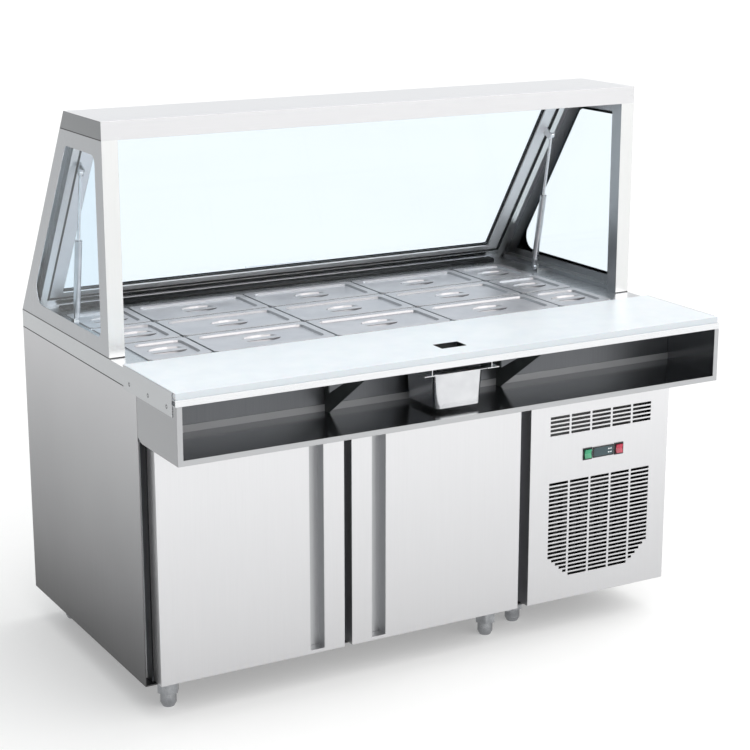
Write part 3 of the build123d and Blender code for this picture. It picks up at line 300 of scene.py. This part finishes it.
def grainedCoat(name, colour, darker, roughness, grain, relief, metallic=0.0, bevel=0.0006,
                paintedEdgeShade=None, **sockets):
    # a moulded, painted or powder coated face: an even colour with a fine pebble that breaks the gloss
    # grain is the pebble in mm; the edge tone is painted shade on faces that don't look up or down
    material, shader = startMaterial(name, colour, roughness, metallic, **sockets)
    place = addNode(material, "ShaderNodeTexCoord")
    pebble = addNode(material, "ShaderNodeTexNoise",
                     {"Scale": 1000 / grain, "Detail": 3.0, "Roughness": 0.6},
                     {"Vector": place.outputs["Object"]})
    slow = addNode(material, "ShaderNodeTexNoise",
                   {"Scale": 1000 / (grain * coated["patch"]), "Detail": 2.0},
                   {"Vector": place.outputs["Object"]})
    tint = addNode(material, "ShaderNodeValToRGB", links={"Fac": slow.outputs["Fac"]})
    setRamp(tint, [(0.32, darker), (0.66, colour)])
    low, high = coated["gloss"]
    gloss = addNode(material, "ShaderNodeMapRange",
                    {**noiseSpan, "To Min": max(roughness + low, coated["glossiest"]),
                     "To Max": roughness + high}, {"Value": pebble.outputs["Fac"]})
    face = tint.outputs["Color"]
    if paintedEdgeShade:
        face = paintLightBySide(material, place, face, paintedEdgeShade, "Z", coated["flat"], off=1.0, on=0.0)
    return wireFinish(material, shader, face, gloss.outputs[0], pebble.outputs["Fac"], relief,
                      coated["depth"], bevel)


pane = {
    "gloss": 0.02, "film": (0.0, 0.05),   # roughness of the pane, and from a clean to a smeared place
    "filmSpan": (0.35, 0.70),             # values of the noise where a smear starts and is full
    "wipe": 166.667,                      # mm of a wiping stroke
    "bend": 1.12,   # IOR, below the usual 1.5, as the panes in the photo mirror next to nothing
}


def paneGlass(name, tint):
    # tempered float glass: nearly clear, a cold tint, clouds of a wiped surface in the gloss
    material, shader = startMaterial(name, tint, pane["gloss"], Transmission_Weight=1.0,
                                     IOR=pane["bend"])
    place = addNode(material, "ShaderNodeTexCoord")
    wiped = addNode(material, "ShaderNodeTexNoise", {"Scale": 1000 / pane["wipe"], "Detail": 3.0},
                    {"Vector": place.outputs["Object"]})
    start, full = pane["filmSpan"]
    clean, smeared = pane["film"]
    film = addNode(material, "ShaderNodeMapRange",
                   {"From Min": start, "From Max": full, "To Min": clean, "To Max": smeared},
                   {"Value": wiped.outputs["Fac"]})
    material.node_tree.links.new(film.outputs[0], shader.inputs["Roughness"])
    return material


# each finish: name, colour, its darker patches, roughness, then the grain's direction for brushedSteel
# or the grain in mm and the relief for grainedCoat
finishes = {
    # front faces: fine upright grain, pale, with painted shade darker towards the foot
    "doorSteel": brushedSteel("brushedStainlessUpright", "#e4e4e6", "#e0e0e2", 0.33, "z",
                              paintedFootShade=(0.69, 0.99)),
    # side and back skins: the same sheet, a little rougher, its colour painted darker as shade and
    # darker still towards the foot
    "skinSteel": brushedSteel("shadedRolledStainlessSkin", "#c6c6c8", "#c2c2c4", 0.38, "z", relief=0.01,
                              paintedFootShade=(0.10, 0.86)),
    # worktop and rails: grain runs the long way, with painted shade on the faces that look along x
    "railSteel": brushedSteel("brushedStainlessLengthwise", "#e2e3e5", "#dddee0", 0.28, "x",
                              paintedSideTones={"X": "#adafb1"}),
    # canopy box: the same sheet, with painted shade on its end caps and a painted highlight on the
    # faces that look up and down
    "capSteel": brushedSteel("brushedStainlessCap", "#d3d3d5", "#cfcfd1", 0.30, "x",
                             paintedSideTones={"X": "#787a7c", "Z": "#f6f6f8"}),
    # hatch frame: bead blasted, so it stays pale where it faces the dark seal
    "hatchSteel": brushedSteel("beadBlastedHatchFrame", "#f0f1f3", "#e9eaed", 0.55, "x", relief=0.01),
    # canopy side frames: grain runs up the posts, with painted shade on the faces that look along x
    "postSteel": brushedSteel("brushedStainlessPost", "#dbdcdc", "#d7d8d8", 0.30, "z",
                              paintedSideTones={"X": "#a0a2a5"}),
    # shelf box: polished before folding, so it mirrors the board's shadow; its floor and walls also
    # get painted shade, deepest on the end walls
    "shelfSteel": brushedSteel("polishedStainlessShelf", "#c6c7c9", "#bcbdc0", 0.18, "x", relief=0.01,
                               paintedSideTones={"X": "#8f9092", "Y": "#bcbdbf", "Z": "#a6a7a9"}, matt=0.75),
    # what stands in the gaps between doors and panels, and between the lids: the same sheet, its
    # colour painted dark as the shade in the gaps
    "frameSteel": brushedSteel("gapShadeFrame", "#6e7073", "#66686b", 0.40, "z", relief=0.01),
    # linings of the door channels: a darker sheet, painted shade in the recess
    "linerSteel": brushedSteel("channelShadeLining", "#b6b7b9", "#b0b1b3", 0.34, "z", relief=0.01),
    "panSteel": smoothSteel("deepDrawnStainless", "#dedfe1", "#cfd0d3", 0.19),
    # lids: painted shade on the leaning walls of the pressing
    "lidSteel": smoothSteel("pressedStainlessLid", "#f5f2f4", "#e8e5e8", 0.40, blotch=90.0,
                            paintedWallShade="#c2c0c2"),
    # turned feet and hinges: the colour is painted darker as shade, as the feet stand under the
    # cabinet
    "turnedSteel": smoothSteel("turnedStainless", "#a6a8ab", "#8f9194", 0.24, blotch=18.0),
    "rodSteel": smoothSteel("hardChromedRod", "#d9dadc", "#c9cacd", 0.12, blotch=30.0, bevel=0.0003),
    "tubeSteel": smoothSteel("anodisedStrutTube", "#bfc1c4", "#aeb0b4", 0.30, blotch=40.0,
                             bevel=0.0003),
    "screwSteel": smoothSteel("countersunkScrewHead", "#4b4d50", "#3c3e41", 0.3, blotch=6.0),
    "fins": smoothSteel("stampedAluminiumFins", "#b9bdc1", "#9fa4a9", 0.38, blotch=14.0,
                        bevel=0.0003),
    "braceSteel": grainedCoat("darkPaintedSteel", "#3c4141", "#343939", 0.38, 1.2, 0.10,
                              metallic=0.35),
    "bodyShell": grainedCoat("foamedInnerShell", "#c9cbcd", "#bfc1c3", 0.42, 2.0, 0.06),
    "rubber": grainedCoat("extrudedBlackRubber", "#1b1d1f", "#121415", 0.55, 0.9, 0.15),
    "beadRubber": grainedCoat("extrudedGlazingBead", "#2a2d2f", "#202325", 0.5, 0.7, 0.08),
    # the seam strips are nearly black: painted shadow of the seams
    "seamShadow": grainedCoat("paintedSeamShadow", "#1c1d1f", "#161719", 0.5, 1.0, 0.05),
    # cutting board: painted shade on its upright edges
    "board": grainedCoat("planedWhitePolyethylene", "#e4e9ed", "#dfe5ea", 0.36, 1.4, 0.05,
                         paintedEdgeShade="#c3c9ce", Subsurface_Weight=0.08, Subsurface_Scale=0.004),
    "blackPlastic": grainedCoat("mouldedBlackAbs", "#16191b", "#0f1113", 0.30, 0.8, 0.10),
    "greenKey": grainedCoat("mouldedGreenKey", "#1f9a6b", "#157a54", 0.22, 0.8, 0.04,
                            Coat_Weight=0.4, Coat_Roughness=0.1),
    "redKey": grainedCoat("mouldedRedKey", "#b5163c", "#8f0f2d", 0.22, 0.8, 0.04,
                          Coat_Weight=0.4, Coat_Roughness=0.1),
    "smokedLens": grainedCoat("smokedDisplayLens", "#1d3d44", "#17343b", 0.14, 3.0, 0.01,
                              Coat_Weight=0.6, Coat_Roughness=0.05),
    "whiteKey": grainedCoat("whitePrintedKey", "#e9eef0", "#dde3e5", 0.35, 0.8, 0.05),
    "fanPlastic": grainedCoat("glassFilledNylonFan", "#222528", "#1a1c1f", 0.42, 1.0, 0.10),
    # the condenser behind the louvres is coloured black as painted shade, so the slots read as black
    "blackFins": grainedCoat("shadeBlackFins", "#111315", "#0b0c0e", 0.55, 1.2, 0.10),
    "wireShelf": grainedCoat("epoxyCoatedShelf", "#dfe1e2", "#d3d6d7", 0.34, 1.2, 0.08),
    "compressorCoat": grainedCoat("blackStovedCompressor", "#17191b", "#0f1112", 0.34, 1.5, 0.12),
    "glass": paneGlass("temperedFloatGlass", "#e9f2f8"),
}

dressing = {
    "doorSteel": ["door_left", "door_right", "machine_panel"],
    "frameSteel": ["front_frame", "pan_bars"],
    "skinSteel": ["side_panel_left", "side_panel_right", "back_panel", "base_tray"],
    "capSteel": ["canopy_top"],
    "railSteel": ["worktop", "board_frame", "scrap_runners"],
    "hatchSteel": ["hatch_frame"],
    "postSteel": ["canopy_side_left", "canopy_side_right"],
    "shelfSteel": ["shelf_box"],
    "panSteel": ["scrap_pan"] + ["pans_column_%d" % n for n in range(1, 6)],
    "lidSteel": [n for n in nodes if n.startswith("lid_")],
    "turnedSteel": ["levelling_feet", "door_hinges"],
    "rodSteel": ["strut_rods"],
    "tubeSteel": ["strut_tubes"],
    "braceSteel": ["shelf_braces"],
    "bodyShell": ["insulated_body"],
    "rubber": ["door_gasket_left", "door_gasket_right", "hatch_gasket"],
    "board": ["cutting_board"],
    "blackPlastic": ["control_housings"],
    "greenKey": ["switch_green"],
    "redKey": ["switch_red"],
    "fanPlastic": ["condenser_fan", "evaporator_fan"],
    "fins": ["evaporator"],
    "blackFins": ["condenser"],
    "wireShelf": ["shelf_left", "shelf_right"],
    "compressorCoat": ["compressor"],
    "glass": ["side_panes", "hatch_pane"],
}
for finish, names in dressing.items():
    for name in names:
        slots = nodes[name].data.materials
        for n in range(len(slots)):
            slots[n] = finishes[finish]
        if not len(slots):
            slots.append(finishes[finish])
missing = sorted(set(nodes) - set(sum(dressing.values(), [])))
print("finishes given, without one:", missing)


# the thermostat's window and its four keys
control = {
    "centre": (0.533, 0.487), "front": -0.313,     # m, x and z of the display, y of its face
    "lensHalf": (0.0300, 0.0115), "lensRise": 0.0007, "lensPower": 8.0,
    "keyHalf": (0.0026, 0.0017), "keyRise": 0.0009, "keyPower": 4.0,
    "keyLift": 0.0005,                             # m that a key starts in front of the face
    "keyColumns": (0.0165, 0.0232), "keyRows": (0.0046, -0.0046),   # m from the centre
}


def pillow(name, centre, half, rise, y, material, power, sides=68, rings=6):
    # a raised pad facing -y: its rim is a superellipse |x/a|^n + |z/b|^n = 1
    # and its height falls as 1 - r^6
    t = np.linspace(0, 2 * np.pi, sides, endpoint=False)
    r = np.linspace(1, 0, rings)
    c, s = np.cos(t), np.sin(t)
    reach = (np.abs(c) ** power + np.abs(s) ** power) ** (-1 / power)
    x = centre[0] + half[0] * (reach * c)[:, None] * r
    z = centre[1] + half[1] * (reach * s)[:, None] * r
    depth = y - rise * (1 - r[None, :] ** 6) * np.ones_like(x)
    return gridPiece(name, np.stack([x, depth, z], -1), closeU=True, material=material)


cx, cz = control["centre"]
lens = pillow("thermostat_window", (cx, cz), control["lensHalf"], control["lensRise"],
              control["front"], finishes["smokedLens"], control["lensPower"])
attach(lens, "cabinet")
keys = [pillow("key", (cx + kx, cz + kz), control["keyHalf"], control["keyRise"],
               control["front"] - control["keyLift"], finishes["whiteKey"], control["keyPower"])
        for kx in control["keyColumns"] for kz in control["keyRows"]]
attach(joinPieces("thermostat_keys", keys), "cabinet")
print("controls made")


# three countersunk screws at each end of the shelf
plateScrew = {
    "x": 0.75, "z": 0.818, "y": (-0.230, -0.339, -0.443),   # m, the end faces and the places on them
    "radius": 0.0052, "proud": 0.00002, "sunk": 0.0002, "sides": 24,
    "land": 0.86, "recessRim": 0.50, "recessFoot": 0.42,    # parts of the radius
    "recess": 0.0001,                                       # m that the driver's recess is deep
}
r, p = plateScrew["radius"], plateScrew["proud"]
headProfile = [(r, -plateScrew["sunk"]), (r, p), (r * plateScrew["land"], p),
               (r * plateScrew["recessRim"], p), (r * plateScrew["recessFoot"], -plateScrew["recess"]),
               (0, -plateScrew["recess"])]
heads = [turnedPiece("screw", headProfile, (side * plateScrew["x"], y, plateScrew["z"]), (side, 0, 0),
                     finishes["screwSteel"], plateScrew["sides"])
         for side in (-1, 1) for y in plateScrew["y"]]
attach(joinPieces("plate_screws", heads), "cabinet")
print("plate screws made")


# the canopy's rear face leans forward: m back and up to its foot, then its rise and run
slope = {"back": 0.494, "deck": 0.850, "rise": 0.553, "run": 0.365}
slopeLength = math.hypot(slope["rise"], slope["run"])
slopeUp = np.array([0.0, -slope["run"], slope["rise"]]) / slopeLength
slopeIn = np.array([0.0, -slope["rise"], -slope["run"]]) / slopeLength


def onSlope(flat, inward):
    # points of the rear face: foot + x across + y up the slope + inward
    foot = np.array([0.0, slope["back"], slope["deck"]])
    return foot + flat[:, :1] * xAxis + flat[:, 1:] * slopeUp + inward * slopeIn


# glazing beads hold the hatch pane from both sides
bead = {
    "halfWidth": 0.6535, "low": 0.065, "high": 0.5779,   # m, the opening of the hatch frame
    "corner": 0.008, "reach": 0.0040, "rise": 0.0026,    # m that it covers the pane, and stands off
    "clear": 0.0002,                                     # m that it reaches past the opening's edge
    "bed": 0.0001, "lip": 0.0007,                        # m off the pane, underside and thin edge
    "shoulders": ((0.80, 0.62), (0.45, 0.93)),           # parts of the reach and of the rise
    "paneFaces": ((0.013, 1), (0.007, -1)),              # m inward of each face, and the way it looks
}
flat, away = softLoop(bead["halfWidth"] + bead["clear"], bead["low"] - bead["clear"],
                      bead["high"] + bead["clear"], bead["corner"])
awayOnSlope = away[:, :1] * xAxis + away[:, 1:] * slopeUp
w, h = bead["reach"], bead["rise"]
halfSection = ([(0, bead["bed"]), (-w, bead["bed"]), (-w, bead["lip"])]
               + [(-a * w, b * h) for a, b in bead["shoulders"]] + [(0, h)])
beads = []
for depth, way in bead["paneFaces"]:
    section = [(a, way * b) for a, b in halfSection][::-way]
    beads.append(sweptPiece("bead", onSlope(flat, depth), awayOnSlope, slopeIn, section,
                            finishes["beadRubber"]))
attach(joinPieces("hatch_glazing_beads", beads), "hatch")
print("glazing beads made")


# the handle channels of the doors get a pressed lining of a darker sheet, which paints the shade in
# the recess
liner = {
    "channels": {"door_left_body": (-0.332, -0.293), "door_right_body": (-0.160, -0.121)},   # m, x
    "face": -0.311, "deep": -0.281,             # m, y of the door's face and of the channel's floor
    "low": 0.107, "high": 0.674,                # m, z of its ends
    "clear": 0.0002, "sheet": 0.0006,
    "shy": 0.0010,                              # m that its edge stays behind the door's face
}
clear, sheet = liner["clear"], liner["sheet"]
face, deep = liner["face"] + liner["shy"], liner["deep"] - clear
for body, (west, east) in liner["channels"].items():
    west, east = west + clear, east - clear
    section = [(west, face), (west, deep), (east, deep), (east, face), (east - sheet, face),
               (east - sheet, deep - sheet), (west + sheet, deep - sheet), (west + sheet, face)]
    lining = straightStrip(body.replace("_body", "_channel_shade_lining"),
                           [(0, 0, liner["low"] + clear), (0, 0, liner["high"] - clear)], xAxis, yAxis,
                           section, finishes["linerSteel"])
    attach(lining, body)
print("channel linings made")


# the scrap hole is lined with a thin black collar, painted shade inside the hole
collar = {
    "halfWidth": 0.035, "low": -0.428, "high": -0.382, "corner": 0.006,   # m, the hole in x and y
    "foot": 0.8422, "top": 0.8568, "wall": 0.0009, "clear": 0.0001,
}
clear, wall = collar["clear"], collar["wall"]
flat, away = softLoop(collar["halfWidth"] - clear, collar["low"] + clear, collar["high"] - clear,
                      collar["corner"])
section = [(0, collar["foot"]), (0, collar["top"]), (-wall, collar["top"]), (-wall, collar["foot"])]
level = np.zeros(len(flat))
collarPiece = sweptPiece("scrap_hole_shade_collar", np.column_stack([flat, level]),
                         np.column_stack([away, level]), zAxis, section, finishes["blackPlastic"],
                         smooth=False)
closeEnds(collarPiece)
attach(collarPiece, "board")
print("scrap hole collar made")


# seams: the shadow line where two sheets meet, painted as a nearly black strip just proud of the
# recessed sheet
seam = {
    "half": 0.7485, "proud": 0.0003, "sunk": 0.0004, "tall": 0.0022,   # m
    "ends": [   # y from, y to and height of the seams on both ends of the part
        (-0.264, 0.4935, 0.8042), (-0.1075, 0.4920, 0.8500), (-0.1075, 0.1560, 1.3585),
    ],
    "postX": (0.7088, 0.7483), "postY": (-0.1083, -0.1076), "postFoot": 0.8501,   # under the posts
}


def seamSection(low, high, foot):
    # the four corners of a strip of painted seam shadow
    return [(low, foot), (high, foot), (high, foot + seam["tall"]), (low, foot + seam["tall"])]


strips = []
for side in (-1, 1):
    low, high = sorted((side * (seam["half"] - seam["sunk"]), side * (seam["half"] + seam["proud"])))
    for start, end, foot in seam["ends"]:
        strips.append(straightStrip("seam", [(0, start, 0), (0, end, 0)], xAxis, zAxis,
                                    seamSection(low, high, foot), finishes["seamShadow"]))
for side in (-1, 1):
    inner, outer = seam["postX"]
    strips.append(straightStrip("seam", [(side * inner, 0, 0), (side * outer, 0, 0)], yAxis, zAxis,
                                seamSection(*seam["postY"], seam["postFoot"]), finishes["seamShadow"]))
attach(joinPieces("end_seams", strips), "cabinet")
print("seams made")


# a flat rubber seal lies on the deck along the foot of the hatch
# half a superellipse: y = middle - reach*sign(cos t)*|cos t|^p, z = deck + rise*(sin t)^p
footSeal = {"half": 0.660, "front": 0.417, "back": 0.4565, "deck": 0.8502, "rise": 0.010,
            "power": 0.5, "steps": 25}
t = np.linspace(0, np.pi, footSeal["steps"])
middle = (footSeal["front"] + footSeal["back"]) / 2
reach = (footSeal["back"] - footSeal["front"]) / 2
across = np.sign(np.cos(t)) * np.abs(np.cos(t)) ** footSeal["power"]
up = np.abs(np.sin(t)) ** footSeal["power"]
section = np.stack([middle - reach * across, footSeal["deck"] + footSeal["rise"] * up], 1)
sealPiece = straightStrip("hatch_foot_seal", [(-footSeal["half"], 0, 0), (footSeal["half"], 0, 0)],
                          yAxis, zAxis, section, finishes["rubber"], smooth=True)
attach(sealPiece, "cabinet")
print("foot seal made")


# the camera stands where the photo was taken from
view = {
    "place": (-2.31425, -4.13458, 1.94538),         # m
    "turn": 0.5148, "tilt": 0.2591,                 # radians to the right and down
    "focal": 1893.4, "image": 750,                  # in pixels, the focal length and the image's width
    "sensor": 36.0, "farthest": 200.0,              # mm, m
}
camera = bpy.data.cameras.new("photoCamera")
camera.lens = view["focal"] * view["sensor"] / view["image"]
camera.sensor_width = view["sensor"]
camera.clip_end = view["farthest"]
cameraPiece = bpy.data.objects.new("photoCamera", camera)
cameraPiece.location = view["place"]
cameraPiece.rotation_euler = (math.pi / 2 - view["tilt"], 0.0, -view["turn"])
bpy.context.scene.collection.objects.link(cameraPiece)
bpy.context.scene.camera = cameraPiece


# an opal acrylic table that is lit a little from below, as product studios use
table = {"half": 40.0, "grain": 40.0, "glow": 0.30}   # m, mm, strength of its own light
floorFinish = grainedCoat("opalAcrylicTable", "#d4d4d4", "#d2d2d2", 0.7, table["grain"], 0.0,
                          Emission_Color=(1.0, 1.0, 1.0, 1.0), Emission_Strength=table["glow"])
edge = np.linspace(-table["half"], table["half"], 3)
floorX, floorY = np.meshgrid(edge, edge, indexing="ij")
floorGrid = np.stack([floorX, floorY, np.zeros_like(floorX)], -1)
floor = gridPiece("floor", floorGrid, material=floorFinish, smooth=False)


# a broad overcast key from the front right, and a room as bright as it
studio = {
    "keyTurn": 38.0, "keyHeight": 52.0,       # degrees right of the front, degrees above the floor
    "keySpread": 100.0, "keyStrength": 3.0,   # degrees across its disc, W/m2
    "keyColour": "#fffdfa",
    "roomLevel": "#ffffff", "roomHigh": "#b3b8bb",   # the room at eye level and high up
    "highFrom": 0.75, "roomStrength": 1.05,
    "leftTone": 0.45, "leftFrom": 0.1,        # its tone at the far left, and where the fall starts
}
key = bpy.data.lights.new("keySky", "SUN")
key.energy = studio["keyStrength"]
key.angle = math.radians(studio["keySpread"])
key.color = linearColour(studio["keyColour"])[:3]
keyPiece = bpy.data.objects.new("keySky", key)
turn, height = math.radians(studio["keyTurn"]), math.radians(studio["keyHeight"])
toKey = Vector((math.sin(turn) * math.cos(height), -math.cos(turn) * math.cos(height),
                math.sin(height)))
keyPiece.rotation_euler = toKey.to_track_quat("Z", "Y").to_euler()
bpy.context.scene.collection.objects.link(keyPiece)

# room: white at eye level, greyer overhead, and darker towards the left where nothing is lit
world = bpy.data.worlds.new("studioRoom")
world.use_nodes = True
backdrop = world.node_tree.nodes["Background"]
room = addNode(world, "ShaderNodeTexCoord")
way = addNode(world, "ShaderNodeSeparateXYZ", links={"Vector": room.outputs["Generated"]})
lift = addNode(world, "ShaderNodeValToRGB", links={"Fac": way.outputs["Z"]})
setRamp(lift, [(0.0, studio["roomLevel"]), (studio["highFrom"], studio["roomHigh"])])
leftFall = addNode(world, "ShaderNodeMapRange",
                   {"From Min": -1.0, "From Max": studio["leftFrom"],
                    "To Min": studio["leftTone"], "To Max": 1.0}, {"Value": way.outputs["X"]})
strength = addNode(world, "ShaderNodeMath", {1: studio["roomStrength"]}, {0: leftFall.outputs[0]},
                   operation="MULTIPLY")
world.node_tree.links.new(lift.outputs["Color"], backdrop.inputs["Color"])
world.node_tree.links.new(strength.outputs[0], backdrop.inputs["Strength"])
bpy.context.scene.world = world
bpy.context.scene.view_settings.view_transform = "Standard"
print("camera, floor and light made")
